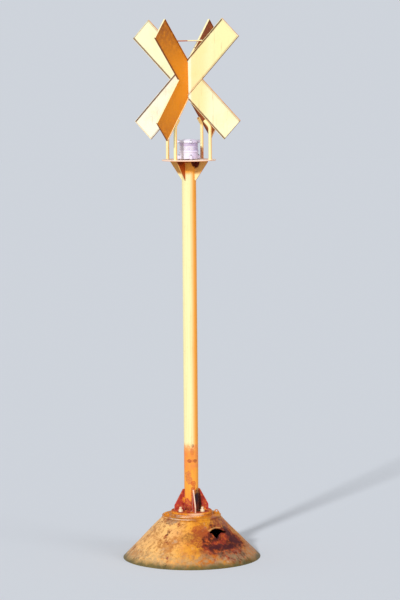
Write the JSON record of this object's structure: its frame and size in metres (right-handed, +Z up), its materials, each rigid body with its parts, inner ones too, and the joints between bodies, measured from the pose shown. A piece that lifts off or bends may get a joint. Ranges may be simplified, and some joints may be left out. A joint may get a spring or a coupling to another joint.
{
  "type": "navigation light buoy",
  "caption": "Conical steel light buoy with a tube mast, lantern, cross-shaped topmark, ballasted tail and mooring shackle.",
  "frame": {"origin": "mast axis at the water surface, as the buoy floats", "axes": "+Z up along the mast; the two crosses stand close to the vertical planes at 45 degrees to X and Y"},
  "size_m": [1.6284, 1.628, 8.2602],
  "materials": {
    "yellow_paint": "weathered gloss",
    "rusted_paint": "rusted",
    "float_paint": "stained and rusted",
    "underwater_paint": "fouled",
    "ballast_iron": "rusted",
    "shackle_steel": "rusted",
    "gasket_rubber": "matt",
    "lens_clear": "clear",
    "lantern_grey": "satin",
    "lamp_dark": "matt",
    "stud_steel": "dull"
  },
  "bodies": {
    "buoy": {"hull_cone": "float_paint", "hull_side": "underwater_paint", "hull_bottom": "underwater_paint", "rubbing_bars": "underwater_paint", "deck_plate": "float_paint", "lifting_lug_1": "float_paint", "lifting_lug_2": "float_paint", "tail_tube": "underwater_paint", "tail_brackets": "underwater_paint", "ballast_plate": "underwater_paint", "ballast_keeper": "underwater_paint", "ballast_rods": "shackle_steel", "tail_end_plate": "underwater_paint", "mooring_eye": "underwater_paint", "hull_flange": "float_paint", "flange_gasket": "gasket_rubber", "mast_flange": "rusted_paint", "foot_gussets": "rusted_paint", "mast_tube": "yellow_paint", "platform_gussets": "yellow_paint", "lantern_platform": "yellow_paint", "lantern_feet": "stud_steel", "lantern_base": "lantern_grey", "lantern_lens": "lens_clear", "lantern_cap": "lantern_grey", "lamp_unit": "lamp_dark", "long_strip": "yellow_paint", "upper_half_strip": "yellow_paint", "lower_half_strip": "yellow_paint", "near_cross_panel": "yellow_paint", "far_cross_panel": "yellow_paint", "long_edging": "yellow_paint", "upper_edging": "yellow_paint", "lower_edging": "yellow_paint", "near_edging": "yellow_paint", "far_edging": "yellow_paint", "tie_rod_long": "yellow_paint", "tie_rods_short": "yellow_paint", "ballast_ring_1": "ballast_iron", "cage_post_1": "yellow_paint", "ballast_ring_2": "ballast_iron", "cage_post_2": "yellow_paint", "ballast_ring_3": "ballast_iron", "cage_post_3": "yellow_paint", "ballast_ring_4": "ballast_iron", "cage_post_4": "yellow_paint"},
    "mooring_shackle": {"shackle_bow": "shackle_steel", "shackle_pin": "shackle_steel"}
  },
  "joints": [
    {"name": "shackle_swing", "type": "hinge", "parent": "buoy", "child": "mooring_shackle", "pos_m": [0, 0, -2.7327], "axis": [0, 1, 0], "range_deg": [-85, 85]}
  ]
}
